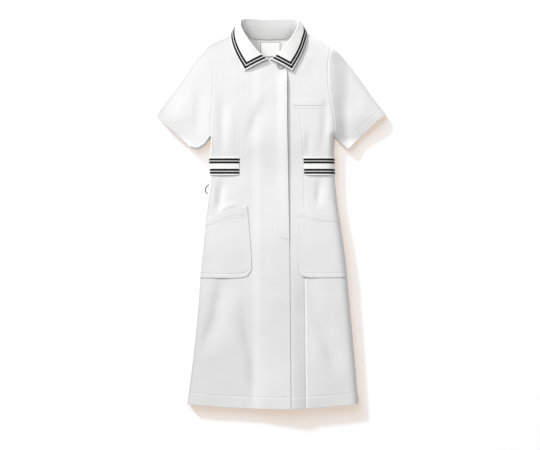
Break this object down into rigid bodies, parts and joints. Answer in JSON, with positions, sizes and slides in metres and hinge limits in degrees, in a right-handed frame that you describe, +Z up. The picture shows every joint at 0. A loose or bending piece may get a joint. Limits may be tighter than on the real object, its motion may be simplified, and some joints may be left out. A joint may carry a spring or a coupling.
{
  "type": "nurse uniform dress",
  "caption": "White short-sleeved nurse uniform dress laid out flat, with striped collar and waist tabs, covered front fly, princess seams, chest pocket and hip patch pockets.",
  "frame": {"origin": "on the floor under the middle of the laid-out dress", "axes": "+Y from the hem to the collar, +Z up through the front, +X to the wearer's left"},
  "size_m": [0.634, 1.0743, 0.0541],
  "materials": {
    "white_cloth": "matt white uniform twill with a soft surface",
    "striped_cloth": "matt white rib knit with black stripes along the edges",
    "label_cloth": "smooth woven satin with a thin border",
    "button_resin": "polished off-white resin",
    "loop_thread": "twisted grey thread"
  },
  "bodies": {
    "root": {"front_right_centre": "white_cloth", "front_right_side": "white_cloth", "front_left_centre": "white_cloth", "front_left_side": "white_cloth", "back": "white_cloth", "sleeve_right": "white_cloth", "sleeve_left": "white_cloth", "collar": "striped_cloth", "waist_tab_right": "striped_cloth", "waist_tab_left": "striped_cloth", "hip_pocket_right": "white_cloth", "hip_pocket_left": "white_cloth", "chest_welt": "white_cloth", "neck_button": "button_resin", "neck_label": "label_cloth", "side_loop": "loop_thread"}
  },
  "joints": []
}
